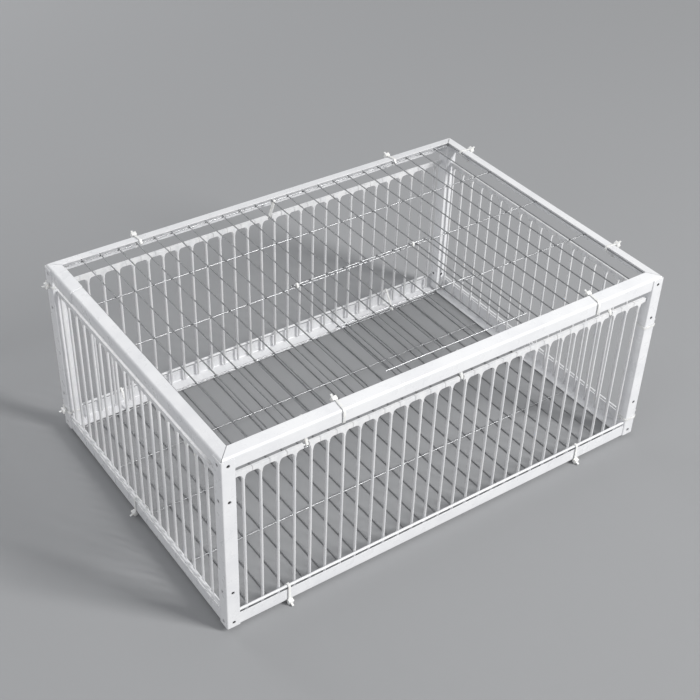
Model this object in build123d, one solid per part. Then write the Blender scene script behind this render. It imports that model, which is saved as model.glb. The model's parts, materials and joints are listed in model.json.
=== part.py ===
from build123d import *
import os
from math import copysign, cos, hypot, pi, sin

# Walk-in trap cage for pigeons: a low white box of square posts and light angle rails, with
# wire mesh above and below.
# Each side is a curtain of T-shaped bars, threaded on a rod under the top rail, that swing
# inwards only, because a stop rod stands outside their lower ends. A hatch in the top mesh
# lets the birds be taken out.
# Frame: origin on the ground under the middle of the cage, X along the long sides, front at -Y.

# Overall size, mm
LENGTH = 400.0
DEPTH = 271.7

# Square posts, and the sheet angles of the rails, whose flanges are bent a little open
SHEET = 0.8
POST = 11.0
POST_CORNER = 1.0
POST_LOW = 3.4
POST_HIGH = 162.2
ANGLE_LEG = 10.4
RAIL_ROUND = 2.0
TOP_RAIL_LOW = 153.1
TOP_RAIL_FOLD = 163.8
TOP_RAIL_HIGH = 165.3
BOTTOM_RAIL_LOW = 1.0
BOTTOM_RAIL_FOLD = 2.5
BOTTOM_RAIL_HIGH = 13.9
MITRE_SLIT = 0.3

# Punched holes along the middle of the posts' outer faces, and one low in each inner face
HOLE_ACROSS = 2.7
HOLE_SIDES = 8
HOLE_HEIGHTS = (8.0, 38.5, 125.5, 157.5)
INNER_HOLE_HEIGHT = 20.0

# Short lapped piece over a butt joint of the left top rail
SPLICE_LENGTH = 30.0
SPLICE_SHEET = 0.6
SPLICE_CENTRE = 104.0

# Welded mesh
WIRE = 1.0
WIRE_SIDES = 6
LONG_PITCH = 15.75
TOP_LONG_BAYS = 24
FLOOR_LONG_BAYS = 22
CROSS_PITCH = 61.5
FLOOR_CROSS_BAYS = 4
TOP_CROSS_WIRES = (-124.3, -55.5, 5.8, 66.2, 124.3)
MESH_DROP = 0.2
TOP_LONG_WIRE_END = 1.7
TOP_CROSS_WIRE_END = 3.5
FLOOR_CROSS_END = 14.7
FLOOR_TUCK = 3.5

# Hatch and the opening under it
OPENING_WIRES = (-3, 4)
OPENING_STUB = 1.0
HATCH_WIRES = 9
HATCH_RODS = 3
HATCH_GAP = 0.4
HATCH_FIRST_WIRE = -54.9
HATCH_BACK = 5.8
HATCH_ROD_END = 2.0
HATCH_WIRE_END = 0.5
HINGE_LOOPS = (-51.0, 59.6)
HINGE_PLAY = 0.06

# Swing bars
BAR_PITCH = 13.43
LONG_SIDE_GROUPS = (4, 4, 4, 4, 4, 4, 4)
SHORT_SIDE_GROUPS = (4, 4, 3, 4, 4)
HEAD_WIDTH = 13.1
HEAD_HEIGHT = 3.7
HEAD_THICKNESS = 2.4
HEAD_GUSSET = 3.0
POST_GAP = 1.5
STEM = 2.2
STEM_SIDES = 6
BORE_SIDES = 4
BAR_REACH = 139.2

# Rods that the bars hang on and rest against, drawn with many flats
ROD_SIDES = 12
PIVOT_ROD = 1.2
PIVOT_PLAY = 0.05
PIVOT_DEPTH = 4.5
LONG_PIVOT_Z = 143.7
SHORT_PIVOT_Z = 142.4
STOP_ROD = 2.2
STOP_ROD_Z = 16.9

# Nylon ties
TIE_WIDTH = 2.4
STRAP = 0.8
TIE_GAP = 3.4
TIE_HEAD = 4.4
TIE_REACH = 3.4
TOP_TIE_TURN = 25.0
BOTTOM_TIE_TURN = 20.0
TAIL_WIDTH = 1.9
TAIL_LENGTH = 2.6
TIE_ROUND_SIDES = 6
TIE_CLEAR = 0.1
CURTAIN_TIES = {"front": (-131.5, 2.0, 149.5), "back": (-2.0,)}
TOP_TIES = {"front": (-104.0, 130.5), "back": (-129.0, 122.5), "right": (-82.0, 106.0)}
BOTTOM_TIES = {"front": (-147.7, 134.3), "back": (-134.3, 147.7), "right": (6.7,), "left": (-6.7,)}
POST_TIES = {"right": (117.0, 21.0), "left": (147.2, 21.0)}

# Turn of each side about Z, its length along the side, and the cage's size across it.
# A piece of a side is modelled with X along the side, Y inwards from the outer plane and Z up.
SIDES = {
    "front": (0, LENGTH, DEPTH),
    "right": (90, DEPTH, LENGTH),
    "back": (180, LENGTH, DEPTH),
    "left": (270, DEPTH, LENGTH),
}
LONG_SIDES = ("front", "back")

# Slope of the rails' flanges, and height of the bend's centre from the fold
RAIL_RISE = (TOP_RAIL_HIGH - TOP_RAIL_FOLD) / (ANGLE_LEG - SHEET)
BEND_SHIFT = RAIL_ROUND * (hypot(1, RAIL_RISE) - RAIL_RISE)

# Layers and edges of the two meshes
TOP_LONG_WIRE_Z = TOP_RAIL_HIGH - SHEET - MESH_DROP - WIRE / 2
TOP_CROSS_WIRE_Z = TOP_LONG_WIRE_Z - WIRE
FLOOR_LONG_WIRE_Z = BOTTOM_RAIL_LOW - WIRE / 2
FLOOR_CROSS_WIRE_Z = FLOOR_LONG_WIRE_Z + WIRE
TOP_EDGE_X = LONG_PITCH * TOP_LONG_BAYS / 2
TOP_EDGE_Y = TOP_CROSS_WIRES[-1]
FLOOR_EDGE_Y = CROSS_PITCH * FLOOR_CROSS_BAYS / 2
OPENING_FRONT = TOP_CROSS_WIRES[0]
OPENING_BACK = TOP_CROSS_WIRES[2]
HATCH_ROD_Z = TOP_LONG_WIRE_Z + WIRE + HATCH_GAP
HATCH_WIRE_Z = HATCH_ROD_Z + WIRE


def save(node, *solids):
    """Write one node, of one solid or of several separate ones."""
    export_step(Compound(list(solids)), f"parts/{node}.step")


def on_side(side, piece):
    """Carry a piece from a side's own frame to its place on the cage."""
    turn, _, across = SIDES[side]
    return Rot(0, 0, turn) * Pos(0, -across / 2, 0) * piece


def rail_section(leg_end, fold, inner):
    """Angle of a rail in depth and height: a leg on the outside, a bend, and a sloping flange inwards."""
    rise = (inner - fold) / (ANGLE_LEG - SHEET)
    sheet_z = copysign(SHEET, leg_end - fold) * hypot(1, rise)
    inside_fold = (2 * SHEET, fold + rise * SHEET + sheet_z)
    outline = Polyline(
        (SHEET, leg_end),
        (SHEET, fold),
        (ANGLE_LEG, inner),
        (ANGLE_LEG, inner + sheet_z),
        inside_fold,
        (2 * SHEET, leg_end),
        close=True,
    )
    face = make_face(outline)
    face = fillet(face.vertices().sort_by_distance((SHEET, fold, 0))[0], radius=RAIL_ROUND)
    return fillet(face.vertices().sort_by_distance((*inside_fold, 0))[0], radius=RAIL_ROUND - SHEET)


def punch(x, z, through):
    """Tool that punches one hole through a side's sheet, square to the side."""
    hole = Plane.XZ * Pos(x, z) * RegularPolygon(HOLE_ACROSS / 2, HOLE_SIDES, major_radius=False)
    return extrude(hole, amount=through, both=True)


def post():
    """Square tube with its outer corner at the origin, punched on all four faces."""
    bore = POST - 2 * SHEET
    section = Pos(POST / 2, POST / 2) * (RectangleRounded(POST, POST, POST_CORNER) - Rectangle(bore, bore))
    solid = Pos(0, 0, POST_LOW) * extrude(section, amount=POST_HIGH - POST_LOW)
    places = [(0, z) for z in HOLE_HEIGHTS] + [(POST, INNER_HOLE_HEIGHT)]
    for depth, z in places:
        hole = Pos(0, depth, 0) * punch(POST / 2, z, 2 * SHEET)
        solid = solid - hole - mirror(Rot(0, 0, -90) * hole, Plane.XZ)
    return solid


def mitred_rail(span, leg_end, fold, inner):
    """Rail with its leg cut between the posts and its flange mitred at the corners, past their ends."""
    bar = extrude(Plane.YZ * rail_section(leg_end, fold, inner), amount=span / 2, both=True)
    outer_end = span / 2 - SHEET - MITRE_SLIT
    inner_end = span / 2 - ANGLE_LEG - MITRE_SLIT
    plan = Polyline(
        (-outer_end, SHEET),
        (outer_end, SHEET),
        (inner_end, ANGLE_LEG),
        (-inner_end, ANGLE_LEG),
        close=True,
    )
    rail = bar & extrude(make_face(plan), amount=TOP_RAIL_HIGH)
    post_room = Box(POST, POST, POST_HIGH - POST_LOW)
    for end in (POST - span, span - POST):
        rail = rail - Pos(end / 2, POST / 2, (POST_LOW + POST_HIGH) / 2) * post_room
    return rail


def splice():
    """Short angle lapped over the outside of the top rail."""
    under = make_face(Polyline(
        (SHEET, TOP_RAIL_LOW),
        (SHEET, TOP_RAIL_FOLD),
        (ANGLE_LEG, TOP_RAIL_HIGH),
        (ANGLE_LEG, TOP_RAIL_LOW),
        close=True,
    ))
    under = fillet(under.vertices().sort_by_distance((SHEET, TOP_RAIL_FOLD, 0))[0], radius=RAIL_ROUND)
    cover = offset(under, amount=SPLICE_SHEET, kind=Kind.ARC) - under
    keep = Pos(SHEET - SPLICE_SHEET, TOP_RAIL_LOW) * Rectangle(
        ANGLE_LEG - SHEET + SPLICE_SHEET, TOP_RAIL_HIGH, align=(Align.MIN, Align.MIN)
    )
    return extrude(Plane.YZ * (cover & keep), amount=SPLICE_LENGTH / 2, both=True)


def wire_x(x_from, x_to, y, z):
    """Straight mesh wire along X, drawn with flats where it meets the crossing wires."""
    section = Pos(y, z) * RegularPolygon(WIRE / 2, WIRE_SIDES, major_radius=False)
    return Pos(x_from, 0, 0) * extrude(Plane.YZ * section, amount=x_to - x_from)


def wire_y(y_from, y_to, x, z):
    """Straight mesh wire along Y."""
    section = Pos(x, z) * RegularPolygon(WIRE / 2, WIRE_SIDES, major_radius=False)
    return Pos(0, y_to, 0) * extrude(Plane.XZ * section, amount=y_to - y_from)


def mesh_lines(pitch, bays):
    """Wire places of one direction of a mesh, centred on zero."""
    return [pitch * (i - bays / 2) for i in range(bays + 1)]


def floor_mesh():
    """Mesh that the cage stands on; its wires across the cage are tucked under the bottom flanges."""
    long_lines = mesh_lines(LONG_PITCH, FLOOR_LONG_BAYS)
    cross_lines = mesh_lines(CROSS_PITCH, FLOOR_CROSS_BAYS)
    reach_x = long_lines[-1] + FLOOR_CROSS_END
    reach_y = DEPTH / 2 - ANGLE_LEG + FLOOR_TUCK
    wires = [wire_y(-reach_y, reach_y, x, FLOOR_LONG_WIRE_Z) for x in long_lines]
    wires += [wire_x(-reach_x, reach_x, y, FLOOR_CROSS_WIRE_Z) for y in cross_lines]
    return wires


def top_mesh():
    """Mesh under the top flanges, with wires cut away between its middle wire and its front edge."""
    reach_x = TOP_EDGE_X + TOP_CROSS_WIRE_END
    reach_y = TOP_EDGE_Y + TOP_LONG_WIRE_END
    opening_left, opening_right = (LONG_PITCH * i for i in OPENING_WIRES)
    wires = []
    for x in mesh_lines(LONG_PITCH, TOP_LONG_BAYS):
        if opening_left < x < opening_right:
            wires.append(wire_y(OPENING_BACK - OPENING_STUB, reach_y, x, TOP_LONG_WIRE_Z))
            wires.append(wire_y(-reach_y, OPENING_FRONT + OPENING_STUB, x, TOP_LONG_WIRE_Z))
        else:
            wires.append(wire_y(-reach_y, reach_y, x, TOP_LONG_WIRE_Z))
    for y in TOP_CROSS_WIRES:
        if OPENING_FRONT < y < OPENING_BACK:
            wires.append(wire_x(-reach_x, opening_left + OPENING_STUB, y, TOP_CROSS_WIRE_Z))
            wires.append(wire_x(opening_right - OPENING_STUB, reach_x, y, TOP_CROSS_WIRE_Z))
        else:
            wires.append(wire_x(-reach_x, reach_x, y, TOP_CROSS_WIRE_Z))
    return wires


def hatch_door():
    """Cut piece of the same mesh; its back rod is round because it turns in the hinge loops."""
    left = HATCH_FIRST_WIRE - HATCH_ROD_END
    right = HATCH_FIRST_WIRE + LONG_PITCH * (HATCH_WIRES - 1) + HATCH_ROD_END
    front = HATCH_BACK - CROSS_PITCH * (HATCH_RODS - 1)
    back_rod = Pos((left + right) / 2, HATCH_BACK, HATCH_ROD_Z) * round_rod(WIRE, right - left)
    pieces = [back_rod]
    for i in range(1, HATCH_RODS):
        pieces.append(wire_x(left, right, HATCH_BACK - CROSS_PITCH * i, HATCH_ROD_Z))
    for i in range(HATCH_WIRES):
        x = HATCH_FIRST_WIRE + LONG_PITCH * i
        pieces.append(wire_y(front - HATCH_WIRE_END, HATCH_BACK + HATCH_WIRE_END, x, HATCH_WIRE_Z))
    return pieces


def bar_places(count):
    return [BAR_PITCH * (i - (count - 1) / 2) for i in range(count)]


def swing_bar(arm_left, arm_right):
    """T-shaped bar hanging from its bore, which is centred on the origin along X."""
    top = HEAD_HEIGHT / 2
    waist = STEM / 2
    gusset_left = min(HEAD_GUSSET, arm_left - STEM)
    gusset_right = min(HEAD_GUSSET, arm_right - STEM)
    outline = Polyline(
        (-arm_left, top),
        (arm_right, top),
        (arm_right, -top),
        (waist + gusset_right, -top),
        (waist, -top - HEAD_GUSSET),
        (-waist, -top - HEAD_GUSSET),
        (-waist - gusset_left, -top),
        (-arm_left, -top),
        close=True,
    )
    head = extrude(Plane.XZ * make_face(outline), amount=HEAD_THICKNESS / 2, both=True)
    bore_section = RegularPolygon(PIVOT_ROD / 2 + PIVOT_PLAY, BORE_SIDES, major_radius=False, rotation=45)
    bore = extrude(Plane.YZ * bore_section, amount=HEAD_WIDTH, both=True)
    stem_section = Rot(0, 0, 90) * RegularPolygon(STEM / 2, STEM_SIDES, major_radius=False)
    stem = Pos(0, 0, -BAR_REACH) * extrude(stem_section, amount=BAR_REACH - top - HEAD_GUSSET)
    return head - bore + stem


def arm(place, towards, room, ties):
    """Length of one arm of a bar's head, cut short beside a post or a tie that holds the rod."""
    lengths = [HEAD_WIDTH / 2, room - place * towards]
    for tie in ties:
        distance = (tie - place) * towards
        if 0 < distance < BAR_PITCH:
            lengths.append(distance - TIE_GAP / 2)
    return min(lengths)


def curtain(side, groups, pivot_z):
    """Groups of swing bars along a side, with room between two heads where a tie holds the rod."""
    ties = CURTAIN_TIES.get(side, ())
    room = SIDES[side][1] / 2 - POST - POST_GAP
    places = iter(bar_places(sum(groups)))
    for group, size in enumerate(groups, start=1):
        bars = []
        for _ in range(size):
            place = next(places)
            bar = swing_bar(arm(place, -1, room, ties), arm(place, 1, room, ties))
            bars.append(on_side(side, Pos(place, PIVOT_DEPTH, pivot_z) * bar))
        save(f"{side}_bars_{group}", *bars)


def round_rod(diameter, length):
    """Straight rod along X, centred on the origin."""
    section = Plane.YZ * RegularPolygon(diameter / 2, ROD_SIDES)
    return Pos(-length / 2, 0, 0) * extrude(section, amount=length)


def hull(points):
    """Convex outline round a set of points, counter-clockwise."""
    ordered = sorted(set(points))
    chains = []
    for run in (ordered, ordered[::-1]):
        chain = []
        for p in run:
            while len(chain) > 1 and turns_right(chain[-2], chain[-1], p):
                chain.pop()
            chain.append(p)
        chains += chain[:-1]
    return chains


def turns_right(a, b, c):
    return (b[0] - a[0]) * (c[1] - a[1]) - (b[1] - a[1]) * (c[0] - a[0]) <= 0


def taut_outline(rounds, extra):
    """Outline of a strap pulled tight round some round pieces, each (u, v, radius)."""
    points = []
    for u, v, radius in rounds:
        reach = (radius + extra) / cos(pi / TIE_ROUND_SIDES)
        for i in range(TIE_ROUND_SIDES):
            turn = 2 * pi * i / TIE_ROUND_SIDES
            points.append((round(u + reach * cos(turn), 6), round(v + reach * sin(turn), 6)))
    return make_face(Polyline(*hull(points), close=True))


def strap(rounds):
    """Tie loop in the XY plane round some round pieces, as wide as the tie along Z."""
    face = taut_outline(rounds, STRAP) - taut_outline(rounds, 0)
    return extrude(face, amount=TIE_WIDTH / 2, both=True)


def tie_head():
    """Square head of a tie with its trimmed tail, standing out along -Y from the middle of the strap."""
    head = Pos(0, -TIE_REACH / 2, 0) * Box(TIE_HEAD, TIE_REACH, TIE_HEAD)
    tail = Pos(0, -TIE_REACH - TAIL_LENGTH / 2, 0) * Box(TAIL_WIDTH, TAIL_LENGTH, STRAP)
    return head + tail


def bend_head(bend_z, turn):
    """Head of a tie that closes on the bend of a rail, turned about the bend."""
    strap_round = RAIL_ROUND + TIE_CLEAR + STRAP / 2
    return Pos(0, SHEET + RAIL_ROUND, bend_z) * Rot(turn, 0, 0) * Pos(0, -strap_round, 0) * tie_head()


def stand(loop):
    """Turn a loop from the XY plane into the plane across a side: u inwards, v up."""
    return Plane.YZ * loop


def curtain_tie():
    """Loop that hangs the pivot rod of a long side from the edge wire of the top mesh."""
    edge_wire = (DEPTH / 2 - TOP_EDGE_Y, TOP_CROSS_WIRE_Z, WIRE / 2 + TIE_CLEAR)
    return stand(strap([(PIVOT_DEPTH, LONG_PIVOT_Z, PIVOT_ROD / 2), edge_wire]))


def top_tie(side):
    """Loop round a top rail and the edge wire of the top mesh; only in front is its head on the inside."""
    edge_depth = DEPTH / 2 - TOP_EDGE_Y if side in LONG_SIDES else LENGTH / 2 - TOP_EDGE_X
    edge_z = TOP_CROSS_WIRE_Z if side in LONG_SIDES else TOP_LONG_WIRE_Z
    bend_z = TOP_RAIL_FOLD - BEND_SHIFT
    loop = stand(strap([
        (edge_depth, edge_z, WIRE / 2 + TIE_CLEAR),
        (ANGLE_LEG, TOP_RAIL_HIGH, TIE_CLEAR),
        (SHEET + RAIL_ROUND, bend_z, RAIL_ROUND + TIE_CLEAR),
        (SHEET + TIE_CLEAR, TOP_RAIL_LOW, 2 * TIE_CLEAR),
        (2 * SHEET - TIE_CLEAR, TOP_RAIL_LOW, 2 * TIE_CLEAR),
    ]))
    if side == "front":
        head_depth = (ANGLE_LEG + edge_depth + WIRE) / 2 + TIE_CLEAR
        head_place = Pos(0, head_depth, (TOP_RAIL_HIGH + edge_z) / 2)
        return loop + head_place * Rot(180 + TOP_TIE_TURN, 0, 0) * tie_head()
    return loop + bend_head(bend_z, -TOP_TIE_TURN)


def bottom_tie(side):
    """Loop round a bottom rail and its stop rod, with its head outside the rail."""
    bend_z = BOTTOM_RAIL_FOLD + BEND_SHIFT
    rounds = [
        (SHEET + STOP_ROD / 2, STOP_ROD_Z, STOP_ROD / 2 + TIE_CLEAR),
        (SHEET + RAIL_ROUND, bend_z, RAIL_ROUND + TIE_CLEAR),
        (ANGLE_LEG, BOTTOM_RAIL_LOW, TIE_CLEAR),
        (ANGLE_LEG, BOTTOM_RAIL_LOW + SHEET, TIE_CLEAR),
    ]
    if side in LONG_SIDES:
        rounds.append((DEPTH / 2 - FLOOR_EDGE_Y, FLOOR_CROSS_WIRE_Z, WIRE / 2 + TIE_CLEAR))
    return stand(strap(rounds)) + bend_head(bend_z, BOTTOM_TIE_TURN)


def post_tie():
    """Loop round the corner post at the start of a side, in plan, with its head outside."""
    near = POST_CORNER
    far = POST - POST_CORNER
    loop = strap([(u, v, POST_CORNER + TIE_CLEAR) for u in (near, far) for v in (near, far)])
    return loop + Pos(POST / 2, -TIE_CLEAR - STRAP / 2, 0) * tie_head()


os.makedirs("parts", exist_ok=True)

# Posts
for name, turn, x, y in (
    ("front_left_post", 0, -LENGTH / 2, -DEPTH / 2),
    ("front_right_post", 90, LENGTH / 2, -DEPTH / 2),
    ("back_right_post", 180, LENGTH / 2, DEPTH / 2),
    ("back_left_post", 270, -LENGTH / 2, DEPTH / 2),
):
    save(name, Pos(x, y, 0) * Rot(0, 0, turn) * post())

# Rails, rods and curtains of the four sides
for side, (_, span, _) in SIDES.items():
    is_long = side in LONG_SIDES
    pivot_z = LONG_PIVOT_Z if is_long else SHORT_PIVOT_Z
    groups = LONG_SIDE_GROUPS if is_long else SHORT_SIDE_GROUPS
    top_rail = mitred_rail(span, TOP_RAIL_LOW, TOP_RAIL_FOLD, TOP_RAIL_HIGH)
    bottom_rail = mitred_rail(span, BOTTOM_RAIL_HIGH, BOTTOM_RAIL_FOLD, BOTTOM_RAIL_LOW)
    pivot_rod = round_rod(PIVOT_ROD, span - 2 * POST)
    stop_rod = round_rod(STOP_ROD, span - 2 * POST)
    save(f"{side}_top_rail", on_side(side, top_rail))
    save(f"{side}_bottom_rail", on_side(side, bottom_rail))
    save(f"{side}_pivot_rod", on_side(side, Pos(0, PIVOT_DEPTH, pivot_z) * pivot_rod))
    save(f"{side}_stop_rod", on_side(side, Pos(0, SHEET + STOP_ROD / 2, STOP_ROD_Z) * stop_rod))
    curtain(side, groups, pivot_z)

save("left_rail_splice", on_side("left", Pos(-SPLICE_CENTRE, 0, 0) * splice()))

# Meshes and hatch
save("floor_mesh", *floor_mesh())
save("top_mesh", *top_mesh())
save("hatch_door", *hatch_door())
hinge_rounds = [
    (HATCH_BACK, HATCH_ROD_Z, WIRE / 2 + HINGE_PLAY),
    (OPENING_BACK, TOP_CROSS_WIRE_Z, WIRE / 2 + TIE_CLEAR),
]
save("hatch_hinge_loops", *[Pos(x, 0, 0) * stand(strap(hinge_rounds)) for x in HINGE_LOOPS])

# Ties
save("curtain_ties", *[
    on_side(side, Pos(x, 0, 0) * curtain_tie()) for side, places in CURTAIN_TIES.items() for x in places
])
save("top_rail_ties", *[
    on_side(side, Pos(x, 0, 0) * top_tie(side)) for side, places in TOP_TIES.items() for x in places
])
save("bottom_rail_ties", *[
    on_side(side, Pos(x, 0, 0) * bottom_tie(side)) for side, places in BOTTOM_TIES.items() for x in places
])
save("post_ties", *[
    on_side(side, Pos(-SIDES[side][1] / 2, 0, z) * post_tie()) for side, zs in POST_TIES.items() for z in zs
])
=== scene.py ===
import json
import math
import random

import bmesh
import bpy
from mathutils import Matrix, Vector


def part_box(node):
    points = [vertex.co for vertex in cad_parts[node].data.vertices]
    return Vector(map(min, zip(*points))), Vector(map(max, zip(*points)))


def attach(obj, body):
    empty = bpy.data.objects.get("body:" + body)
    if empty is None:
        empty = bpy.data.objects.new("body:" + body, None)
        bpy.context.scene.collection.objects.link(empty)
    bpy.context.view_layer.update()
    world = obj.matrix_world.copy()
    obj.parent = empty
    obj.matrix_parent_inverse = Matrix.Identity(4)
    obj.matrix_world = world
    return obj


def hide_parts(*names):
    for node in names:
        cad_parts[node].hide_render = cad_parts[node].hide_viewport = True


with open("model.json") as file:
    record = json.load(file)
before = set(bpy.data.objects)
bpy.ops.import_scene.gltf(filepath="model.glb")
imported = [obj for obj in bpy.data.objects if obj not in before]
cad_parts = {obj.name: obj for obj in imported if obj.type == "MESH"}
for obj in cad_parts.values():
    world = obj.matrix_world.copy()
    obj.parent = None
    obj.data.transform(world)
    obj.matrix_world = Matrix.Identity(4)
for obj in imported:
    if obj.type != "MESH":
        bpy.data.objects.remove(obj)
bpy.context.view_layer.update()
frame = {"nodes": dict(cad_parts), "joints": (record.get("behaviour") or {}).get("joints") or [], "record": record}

MM = 0.001
AXES = (Vector((1, 0, 0)), Vector((0, 1, 0)), Vector((0, 0, 1)))
random.seed(7)

# Camera, measured from the corners of the cage in the photograph
IMAGE_PIXELS = 700
FOCAL_PIXELS = 1275.78
SENSOR = 36.0
CAMERA_AZIMUTH = math.radians(35.946)
CAMERA_ELEVATION = math.radians(37.13)
CAMERA_ROLL = math.radians(2.115)
CAMERA_DISTANCE = 1049.74 * MM
CAMERA_TARGET = Vector((2.21, 7.19, 80.0)) * MM
CAMERA_NEAR = 0.05
CAMERA_FAR = 50

# Sides of the cage with their turns about Z in degrees
SIDE_TURNS = {"front": 0, "right": 90, "back": 180, "left": 270}
LONG_SIDES = ("front", "back")
POST_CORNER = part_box("front_left_post")[0]
HALF_LENGTH = -POST_CORNER.x
HALF_DEPTH = -POST_CORNER.y

# Swing bars
HEAD_THICKNESS = 2.4 * MM
HEAD_HEIGHT = 3.7 * MM
GUSSET = 3.0 * MM
GUSSET_STEPS = 6
STEM_RADIUS = 1.1 * MM
BORE_RADIUS = 0.65 * MM
NECK = 3.0 * MM
ROUND_SIDES = 12
TIP = 0.8 * MM
SIDE_DRIFT = 0.8 * MM
INWARD_DRIFT = 1.2 * MM

# Wires and rods
WIRE_SIDES = 12
WIRE_CHAMFER = 0.12 * MM

# Nylon ties, with the angle up to which faces are one and the angle from which an edge is rounded
TIE_NODES = ("curtain_ties", "top_rail_ties", "bottom_rail_ties", "post_ties", "hatch_hinge_loops")
TIE_DRAW = 0.3 * MM
TIE_EDGE = 0.2 * MM
TIE_EDGE_STEPS = 2
FLAT = math.radians(1)
SHARP = math.radians(50)

# Angle up to which shading is smooth, and distance up to which corners of faces are one
SMOOTH = math.radians(40)
WELD = 0.002 * MM

# Dim and bright colour of each finish, and the colours of its marks
ENAMEL = ((0.785, 0.79, 0.808, 1), (0.845, 0.848, 0.86, 1))
ROD_ENAMEL = ((0.73, 0.735, 0.75, 1), (0.8, 0.803, 0.815, 1))
SCUFF = (0.5, 0.505, 0.53, 1)
RUBBED = (0.42, 0.425, 0.44, 1)
PLASTIC = ((0.73, 0.735, 0.75, 1), (0.83, 0.83, 0.835, 1))
ZINC = ((0.31, 0.315, 0.325, 1), (0.41, 0.415, 0.425, 1))
ZINC_BLOOM = (0.48, 0.485, 0.49, 1)
NYLON = ((0.76, 0.76, 0.745, 1), (0.86, 0.86, 0.845, 1))
BLACK = (0, 0, 0, 1)
WHITE = (1, 1, 1, 1)

# Least and most roughness of each finish
ENAMEL_ROUGHNESS = (0.23, 0.4)
ROD_ROUGHNESS = (0.29, 0.46)
PLASTIC_ROUGHNESS = (0.3, 0.46)
ZINC_ROUGHNESS = (0.31, 0.4)
NYLON_ROUGHNESS = (0.32, 0.5)

# Roughness of the noises, and the middle part of a noise that is spread over a range of values
NOISE_ROUGHNESS = 0.55
NOISE_LOW = 0.3
NOISE_HIGH = 0.7

# Shading of edges
ENAMEL_EDGE = 0.35 * MM
PLASTIC_EDGE = 0.4 * MM
EDGE_SAMPLES = 4

# Sockets of the mixing node, which has some of one name for each kind of data
MIX_FACTOR, MIX_FIRST, MIX_SECOND, MIX_RESULT = 0, 6, 7, 2

# Studio, whose floor turns into the background's colour between two distances from the cage
FLOOR_REACH = 20.0
FLOOR_CELLS = 8
FLOOR_COLOUR = (0.33, 0.334, 0.342, 1)
BACKGROUND_COLOUR = (0.37, 0.374, 0.381, 1)
FADE_FROM = 0.75
FADE_TO = 1.9
SKY_COLOUR = (0.965, 0.98, 1.0, 1)
SKY_STRENGTH = 0.4

# Lamps: place, width, height, watts and colour, aimed at the middle of the cage
LAMP_AIM = Vector((0, 0, 0.08))
LAMPS = {
    "key": ((1.35, -2.15, 1.9), 0.7, 1.6, 95, (1.0, 0.995, 0.985)),
    "left_fill": ((-1.9, -0.7, 0.9), 1.2, 1.2, 7, (0.98, 0.985, 1.0)),
    "back_fill": ((-0.3, 2.2, 0.75), 1.4, 1.4, 24, (0.98, 0.985, 1.0)),
}


def link(name, data):
    piece = bpy.data.objects.new(name, data)
    bpy.context.scene.collection.objects.link(piece)
    return piece


def dressed(node, bm):
    """New piece for a node from a bmesh, shaded smooth except over sharp edges."""
    bmesh.ops.recalc_face_normals(bm, faces=bm.faces)
    mesh = bpy.data.meshes.new(node)
    bm.to_mesh(mesh)
    bm.free()
    mesh.shade_smooth()
    mesh.set_sharp_from_angle(angle=SMOOTH)
    return link(f"{node}_dressed", mesh)


def welded(node):
    """Bmesh of a CAD node whose faces share their corners."""
    bm = bmesh.new()
    bm.from_mesh(frame["nodes"][node].data)
    bmesh.ops.remove_doubles(bm, verts=bm.verts, dist=WELD)
    return bm


def box_of(points):
    lowest = Vector([min(p[i] for p in points) for i in range(3)])
    highest = Vector([max(p[i] for p in points) for i in range(3)])
    return lowest, highest


def solids_of(node):
    """Vertex places of each separate solid of a CAD node."""
    bm = welded(node)
    found = []
    left = dict.fromkeys(bm.verts)
    while left:
        front = [left.popitem()[0]]
        solid = []
        while front:
            vert = front.pop()
            solid.append(vert.co.copy())
            for edge in vert.link_edges:
                other = edge.other_vert(vert)
                if other in left:
                    del left[other]
                    front.append(other)
        found.append(solid)
    bm.free()
    return sorted(found, key=lambda solid: tuple(round(value, 5) for value in box_of(solid)[0]))


def ring(bm, centre, u, v, radius, sides):
    turns = [2 * math.pi * i / sides for i in range(sides)]
    return [bm.verts.new(centre + radius * (math.cos(t) * u + math.sin(t) * v)) for t in turns]


def join_rings(bm, first, second):
    count = len(first)
    for i in range(count):
        j = (i + 1) % count
        bm.faces.new((first[i], first[j], second[j], second[i]))


def fan(bm, corners, circle):
    """Faces between four corners, at 45 degrees and on, and a circle that starts at 0 degrees."""
    step = len(circle) // 4
    for k in range(4):
        for i in range(step):
            a = circle[k * step + i]
            b = circle[(k * step + i + 1) % len(circle)]
            bm.faces.new((corners[k], a, b))
        shared = circle[(k + 1) * step % len(circle)]
        bm.faces.new((corners[k], shared, corners[(k + 1) % 4]))


def fillet(across, under_head):
    """Curve from the underside of a head to the right flank of the stem, of the width given."""
    turns = [math.pi / 2 * step / GUSSET_STEPS for step in range(GUSSET_STEPS + 1)]
    return [
        (STEM_RADIUS + across * (1 - math.sin(t)), under_head - GUSSET * (1 - math.cos(t))) for t in turns
    ]


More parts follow.
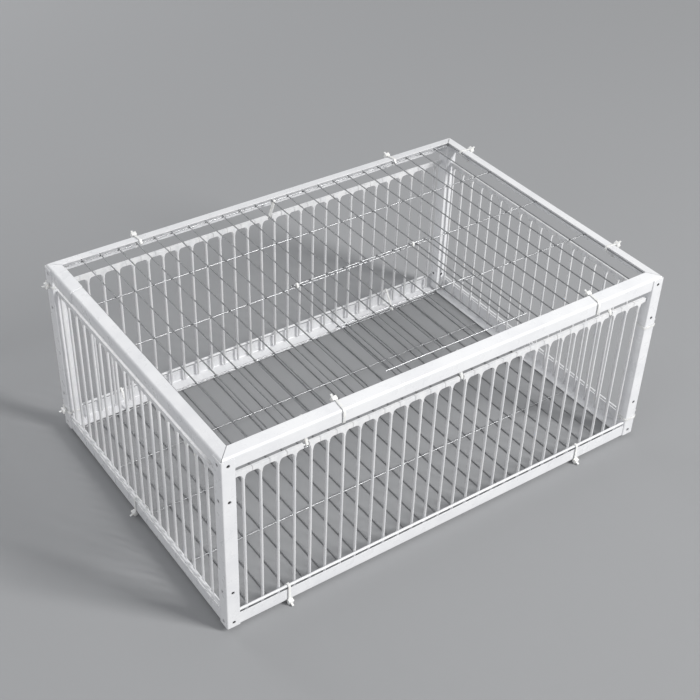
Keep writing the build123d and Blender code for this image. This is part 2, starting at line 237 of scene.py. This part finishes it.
def swing_bar(bm, place, arm_left, arm_right, reach, drift):
    """T-shaped moulded bar: head with a through bore, and a round stem filleted into it.
    place carries the bar from its own frame (bore along X, hanging down) to the cage, and
    drift is how far its tip hangs from the plumb line."""
    along_x, along_y, along_z = AXES
    made = bmesh.new()
    half = HEAD_THICKNESS / 2
    top = HEAD_HEIGHT / 2
    fillet_right = fillet(min(GUSSET, arm_right - 2 * STEM_RADIUS), -top)
    fillet_left = fillet(min(GUSSET, arm_left - 2 * STEM_RADIUS), -top)
    outline = [(-arm_left, top), (arm_right, top), (arm_right, -top)] + fillet_right
    waist = len(outline) - 1
    outline += [(-x, z) for x, z in reversed(fillet_left)] + [(-arm_left, -top)]
    near = [made.verts.new((x, -half, z)) for x, z in outline]
    far = [made.verts.new((x, half, z)) for x, z in outline]
    made.faces.new(near)
    made.faces.new(far[::-1])
    last = len(outline) - 1
    for i in range(last):
        if i not in (1, waist):
            made.faces.new((near[i], near[i + 1], far[i + 1], far[i]))
    right_hole = ring(made, Vector((arm_right, 0, 0)), along_y, along_z, BORE_RADIUS, ROUND_SIDES)
    left_hole = ring(made, Vector((-arm_left, 0, 0)), along_y, along_z, BORE_RADIUS, ROUND_SIDES)
    fan(made, (far[1], near[1], near[2], far[2]), right_hole)
    fan(made, (far[0], near[0], near[last], far[last]), left_hole)
    join_rings(made, right_hole, left_hole)
    neck_z = -top - GUSSET - NECK
    neck = ring(made, Vector((0, 0, neck_z)), along_x, along_y, STEM_RADIUS, ROUND_SIDES)
    fan(made, (far[waist], far[waist + 1], near[waist + 1], near[waist]), neck)
    tip = drift - reach * along_z
    shoulder = ring(made, tip + TIP * along_z, along_x, along_y, STEM_RADIUS, ROUND_SIDES)
    end = ring(made, tip, along_x, along_y, STEM_RADIUS - TIP / 2, ROUND_SIDES)
    join_rings(made, neck, shoulder)
    join_rings(made, shoulder, end)
    made.faces.new(end)
    made.transform(place)
    mesh = bpy.data.meshes.new("bar")
    made.to_mesh(mesh)
    made.free()
    bm.from_mesh(mesh)
    bpy.data.meshes.remove(mesh)


def side_of(point):
    """Side of the cage that a place belongs to."""
    gaps = {
        "front": point.y + HALF_DEPTH,
        "right": HALF_LENGTH - point.x,
        "back": HALF_DEPTH - point.y,
        "left": point.x + HALF_LENGTH,
    }
    return min(gaps, key=gaps.get)


def curtain_group(node, pivot):
    """Round, filleted version of one group of swing bars. Bars that no bar of another side can
    reach hang a little askew."""
    bm = bmesh.new()
    for solid in solids_of(node):
        low, high = box_of(solid)
        side = side_of((low + high) / 2)
        turn = math.radians(SIDE_TURNS[side])
        tip = [p for p in solid if p.z < low.z + TIP]
        stem = sum(tip, Vector()) / len(tip)
        to_side = Matrix.Rotation(-turn, 3, "Z")
        spread = [(to_side @ (p - stem)).x for p in solid]
        place = Matrix.Translation((stem.x, stem.y, pivot.z)) @ Matrix.Rotation(turn, 4, "Z")
        reach = pivot.z - low.z
        room = HALF_LENGTH - abs(stem.x) if side in LONG_SIDES else HALF_DEPTH - abs(stem.y)
        drift = Vector()
        if room > reach:
            drift.x = random.uniform(-SIDE_DRIFT, SIDE_DRIFT)
            drift.y = random.uniform(0, INWARD_DRIFT)
        swing_bar(bm, place, -min(spread), max(spread), reach, drift)
    return dressed(node, bm)


def wire(bm, low, high):
    """Round wire with slightly chamfered ends in the box of its CAD solid."""
    size = high - low
    axis = max(range(3), key=lambda i: size[i])
    along = AXES[axis]
    u = AXES[(axis + 1) % 3]
    v = along.cross(u)
    radius = min(size) / 2
    middle = (low + high) / 2
    half = size[axis] / 2
    stations = (
        (-half, radius - WIRE_CHAMFER),
        (WIRE_CHAMFER - half, radius),
        (half - WIRE_CHAMFER, radius),
        (half, radius - WIRE_CHAMFER),
    )
    rings = [ring(bm, middle + along * s, u, v, r, WIRE_SIDES) for s, r in stations]
    for first, second in zip(rings, rings[1:]):
        join_rings(bm, first, second)
    bm.faces.new(rings[0][::-1])
    bm.faces.new(rings[-1])


def wire_group(node):
    bm = bmesh.new()
    for solid in solids_of(node):
        wire(bm, *box_of(solid))
    return dressed(node, bm)


def tie_group(node):
    """Ties drawn in a little all round, with the edges of their heads, straps and tails rounded."""
    bm = welded(node)
    bmesh.ops.dissolve_limit(bm, angle_limit=FLAT, verts=bm.verts, edges=bm.edges)
    bm.normal_update()
    inwards = [vert.normal * -TIE_DRAW for vert in bm.verts]
    for vert, step in zip(bm.verts, inwards):
        vert.co += step
    bm.normal_update()
    bmesh.ops.bevel(
        bm,
        geom=[edge for edge in bm.edges if edge.calc_face_angle(0) > SHARP],
        offset=TIE_EDGE,
        segments=TIE_EDGE_STEPS,
        profile=0.5,
        affect="EDGES",
        clamp_overlap=True,
    )
    return dressed(node, bm)


def give(tree, socket, value):
    """Link a socket to another one, or set its value."""
    if isinstance(value, bpy.types.NodeSocket):
        tree.links.new(value, socket)
    else:
        socket.default_value = value


def plug(tree, shader_node, **inputs):
    """Set or link some of a shader node's inputs."""
    for name, value in inputs.items():
        give(tree, shader_node.inputs[name.replace("_", " ")], value)
    return shader_node


def add(tree, kind, **inputs):
    """New shader node with some of its inputs set or linked."""
    return plug(tree, tree.nodes.new(kind), **inputs)


def new_material(name):
    """New material with its node tree, its main shader and the places on the object."""
    material = bpy.data.materials.new(name)
    material.use_nodes = True
    tree = material.node_tree
    place = tree.nodes.new("ShaderNodeTexCoord").outputs["Object"]
    return material, tree, tree.nodes["Principled BSDF"], place


def noise(tree, place, scale, detail):
    made = add(
        tree, "ShaderNodeTexNoise", Vector=place, Scale=scale, Detail=detail, Roughness=NOISE_ROUGHNESS
    )
    return made.outputs["Fac"]


def ramp(tree, value, *stops):
    """Colour ramp between two stops, each a position and a colour."""
    made = add(tree, "ShaderNodeValToRGB", Fac=value)
    for element, (position, colour) in zip(made.color_ramp.elements, stops):
        element.position = position
        element.color = colour
    return made.outputs["Color"]


def mask(tree, value, start, end, top):
    """Nought up to start, and rising to top at end."""
    return ramp(tree, value, (start, BLACK), (end, (top, top, top, 1)))


def spread_of(tree, value, low, high):
    """Map the useful middle of a noise to a range of values."""
    made = add(
        tree,
        "ShaderNodeMapRange",
        Value=value,
        From_Min=NOISE_LOW,
        From_Max=NOISE_HIGH,
        To_Min=low,
        To_Max=high,
    )
    return made.outputs["Result"]


def blend(tree, factor, first, second):
    """Mix of two colours."""
    made = tree.nodes.new("ShaderNodeMix")
    made.data_type = "RGBA"
    for number, value in ((MIX_FACTOR, factor), (MIX_FIRST, first), (MIX_SECOND, second)):
        give(tree, made.inputs[number], value)
    return made.outputs[MIX_RESULT]


def calculate(tree, kind, operation, *values):
    """Number that comes from maths on numbers or vectors."""
    made = tree.nodes.new(kind)
    made.operation = operation
    for value, socket in zip(values, made.inputs):
        tree.links.new(value, socket)
    return made.outputs["Value"]


def soft_edges(tree, radius):
    """Normal that is rounded over sharp edges."""
    made = add(tree, "ShaderNodeBevel", Radius=radius)
    made.samples = EDGE_SAMPLES
    return made.outputs["Normal"]


def bump(tree, **inputs):
    return add(tree, "ShaderNodeBump", **inputs).outputs["Normal"]


def seen_ray(tree):
    """One where the camera sees a surface, straight or mirrored, and nought for the light it gives."""
    rays = tree.nodes.new("ShaderNodeLightPath").outputs
    return calculate(tree, "ShaderNodeMath", "MAXIMUM", rays["Is Camera Ray"], rays["Is Glossy Ray"])


def mix_shaders(tree, factor, first, second, output):
    """Mix of two shaders as what a node tree gives out."""
    made = add(tree, "ShaderNodeMixShader", Fac=factor)
    tree.links.new(first, made.inputs[1])
    tree.links.new(second, made.inputs[2])
    tree.links.new(made.outputs["Shader"], tree.nodes[output].inputs["Surface"])


def edge_wear(tree, soft_normal, patches):
    """How far the coat is rubbed through, in patches along edges. Edges are where a softened
    normal leaves the true one."""
    true_normal = tree.nodes.new("ShaderNodeNewGeometry").outputs["Normal"]
    facing = calculate(tree, "ShaderNodeVectorMath", "DOT_PRODUCT", soft_normal, true_normal)
    edge = ramp(tree, facing, (0.8, WHITE), (0.97, BLACK))
    return blend(tree, edge, BLACK, mask(tree, patches, start=0.57, end=0.7, top=0.35))


def white_paint(name, colours, roughness):
    """Glossy white stove enamel on sheet or rod: faint mottling, orange peel, small scuffs and
    soft worn edges."""
    material, tree, shader, place = new_material(name)
    dim, bright = colours
    edges = soft_edges(tree, ENAMEL_EDGE)
    mottling = ramp(tree, noise(tree, place, scale=42, detail=5), (0.32, dim), (0.62, bright))
    scuffs = mask(tree, noise(tree, place, scale=640, detail=3), start=0.69, end=0.77, top=0.22)
    worn = edge_wear(tree, edges, noise(tree, place, scale=95, detail=4))
    peel = noise(tree, place, scale=520, detail=2)
    plug(
        tree,
        shader,
        Base_Color=blend(tree, worn, blend(tree, scuffs, mottling, SCUFF), RUBBED),
        Roughness=spread_of(tree, noise(tree, place, scale=130, detail=4), *roughness),
        Normal=bump(tree, Height=peel, Strength=0.12, Distance=0.06 * MM, Normal=edges),
        Coat_Weight=0.25,
        Coat_Roughness=0.12,
    )
    return material


def white_plastic(name):
    """Moulded white plastic: flow marks along the bars, a little light let through, satin gloss."""
    material, tree, shader, place = new_material(name)
    dim, bright = PLASTIC
    edges = soft_edges(tree, PLASTIC_EDGE)
    stretched = add(tree, "ShaderNodeMapping", Vector=place, Scale=(1, 1, 0.12)).outputs["Vector"]
    marks = noise(tree, stretched, scale=900, detail=2)
    plug(
        tree,
        shader,
        Base_Color=ramp(tree, noise(tree, stretched, scale=260, detail=4), (0.3, dim), (0.62, bright)),
        Roughness=spread_of(tree, noise(tree, place, scale=340, detail=3), *PLASTIC_ROUGHNESS),
        Normal=bump(tree, Height=marks, Strength=0.1, Distance=0.05 * MM, Normal=edges),
        Subsurface_Weight=0.08,
        Subsurface_Radius=(1.0 * MM, 0.95 * MM, 0.9 * MM),
        Subsurface_Scale=1.0,
    )
    return material


def galvanised(name):
    """Zinc-coated wire: cool grey metal with dull and bright patches and fine drawing marks."""
    material, tree, shader, place = new_material(name)
    dim, bright = ZINC
    patches = add(tree, "ShaderNodeTexVoronoi", Vector=place, Scale=420.0).outputs["Distance"]
    tone = ramp(tree, patches, (0.1, dim), (0.8, bright))
    bloom = mask(tree, noise(tree, place, scale=180, detail=5), start=0.55, end=0.75, top=0.5)
    marks = noise(tree, place, scale=1800, detail=2)
    plug(
        tree,
        shader,
        Base_Color=blend(tree, bloom, tone, ZINC_BLOOM),
        Roughness=spread_of(tree, noise(tree, place, scale=700, detail=3), *ZINC_ROUGHNESS),
        Normal=bump(tree, Height=marks, Strength=0.1, Distance=0.006 * MM),
        Metallic=0.92,
    )
    return material


def nylon(name):
    """Natural white nylon of the cable ties, slightly translucent."""
    material, tree, shader, place = new_material(name)
    dim, bright = NYLON
    grain = noise(tree, place, scale=1300, detail=2)
    plug(
        tree,
        shader,
        Base_Color=ramp(tree, noise(tree, place, scale=480, detail=3), (0.3, dim), (0.65, bright)),
        Roughness=spread_of(tree, noise(tree, place, scale=800, detail=2), *NYLON_ROUGHNESS),
        Normal=bump(tree, Height=grain, Strength=0.12, Distance=0.04 * MM),
        Subsurface_Weight=0.15,
        Subsurface_Radius=(1.2 * MM, 1.1 * MM, 1.0 * MM),
        Subsurface_Scale=1.0,
    )
    return material


def paint(piece, material):
    piece.data.materials.clear()
    piece.data.materials.append(material)


def stand_in(piece, node, body, slot):
    """Give a piece its finish and its body, in place of a CAD node."""
    paint(piece, slot_material[slot])
    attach(piece, body)
    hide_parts(node)


def studio_floor():
    """Plain floor that keeps the cage's shadow, and turns into the background's colour farther off."""
    mesh = bpy.data.meshes.new("floor")
    bm = bmesh.new()
    bmesh.ops.create_grid(bm, x_segments=FLOOR_CELLS, y_segments=FLOOR_CELLS, size=FLOOR_REACH)
    bm.to_mesh(mesh)
    bm.free()
    floor = link("floor", mesh)
    material, tree, shader, place = new_material("studio_floor")
    plug(tree, shader, Base_Color=FLOOR_COLOUR, Roughness=0.9, Specular_IOR_Level=0.1)
    away = calculate(tree, "ShaderNodeVectorMath", "LENGTH", place)
    fade = add(tree, "ShaderNodeMapRange", Value=away, From_Min=FADE_FROM, From_Max=FADE_TO)
    fade.interpolation_type = "SMOOTHSTEP"
    sight = calculate(tree, "ShaderNodeMath", "MULTIPLY", fade.outputs["Result"], seen_ray(tree))
    distance_tone = add(tree, "ShaderNodeEmission", Color=BACKGROUND_COLOUR, Strength=1.0)
    mix_shaders(tree, sight, shader.outputs["BSDF"], distance_tone.outputs["Emission"], "Material Output")
    paint(floor, material)


def surroundings():
    """Even light from all round, and a plain background where the camera looks past the floor."""
    world = bpy.data.worlds.new("studio")
    bpy.context.scene.world = world
    world.use_nodes = True
    tree = world.node_tree
    sky = plug(tree, tree.nodes["Background"], Color=SKY_COLOUR, Strength=SKY_STRENGTH)
    seen = add(tree, "ShaderNodeBackground", Color=BACKGROUND_COLOUR, Strength=1.0)
    mix_shaders(tree, seen_ray(tree), sky.outputs["Background"], seen.outputs["Background"], "World Output")


def softbox(name, place, width, height, watts, colour):
    data = bpy.data.lights.new(name, "AREA")
    data.shape = "RECTANGLE"
    data.size = width
    data.size_y = height
    data.energy = watts
    data.color = colour
    lamp = link(name, data)
    lamp.location = place
    lamp.rotation_euler = (LAMP_AIM - Vector(place)).to_track_quat("-Z", "Y").to_euler()


def photo_camera():
    """Camera at the photograph's viewing angle."""
    ahead = Vector((
        math.sin(CAMERA_AZIMUTH) * math.cos(CAMERA_ELEVATION),
        math.cos(CAMERA_AZIMUTH) * math.cos(CAMERA_ELEVATION),
        -math.sin(CAMERA_ELEVATION),
    ))
    level_right = Vector((math.cos(CAMERA_AZIMUTH), -math.sin(CAMERA_AZIMUTH), 0))
    level_up = level_right.cross(ahead)
    right = math.cos(CAMERA_ROLL) * level_right + math.sin(CAMERA_ROLL) * level_up
    up = math.cos(CAMERA_ROLL) * level_up - math.sin(CAMERA_ROLL) * level_right
    data = bpy.data.cameras.new("camera")
    data.sensor_width = SENSOR
    data.lens = FOCAL_PIXELS * SENSOR / IMAGE_PIXELS
    data.clip_start = CAMERA_NEAR
    data.clip_end = CAMERA_FAR
    camera = link("camera", data)
    axes = Matrix((right, up, -ahead)).transposed().to_4x4()
    camera.matrix_world = Matrix.Translation(CAMERA_TARGET - ahead * CAMERA_DISTANCE) @ axes
    bpy.context.scene.camera = camera


# Materials
slot_material = {
    "white_paint": white_paint("white_enamel", ENAMEL, ENAMEL_ROUGHNESS),
    "white_rod": white_paint("white_rod_enamel", ROD_ENAMEL, ROD_ROUGHNESS),
    "white_plastic": white_plastic("white_moulding"),
    "galvanised_wire": galvanised("galvanised_wire"),
    "nylon_tie": nylon("tie_nylon"),
}
for subpart in frame["record"]["subparts"]:
    paint(frame["nodes"][subpart["node"]], slot_material[subpart["material_slot"]])

# Swing bars
for joint in frame["joints"]:
    node = joint["child"]
    if "_bars_" in node:
        stand_in(curtain_group(node, Vector(joint["pos_m"])), node, node, "white_plastic")

# Meshes and hatch
for node, body in (("floor_mesh", "frame"), ("top_mesh", "frame"), ("hatch_door", "hatch")):
    stand_in(wire_group(node), node, body, "galvanised_wire")

# Rods
for side in SIDE_TURNS:
    for node in (f"{side}_pivot_rod", f"{side}_stop_rod"):
        stand_in(wire_group(node), node, "frame", "white_rod")

# Ties
for node in TIE_NODES:
    stand_in(tie_group(node), node, "frame", "nylon_tie")

# Studio
studio_floor()
surroundings()
for name, lamp in LAMPS.items():
    softbox(name, *lamp)
photo_camera()
bpy.context.scene.view_settings.view_transform = "Standard"
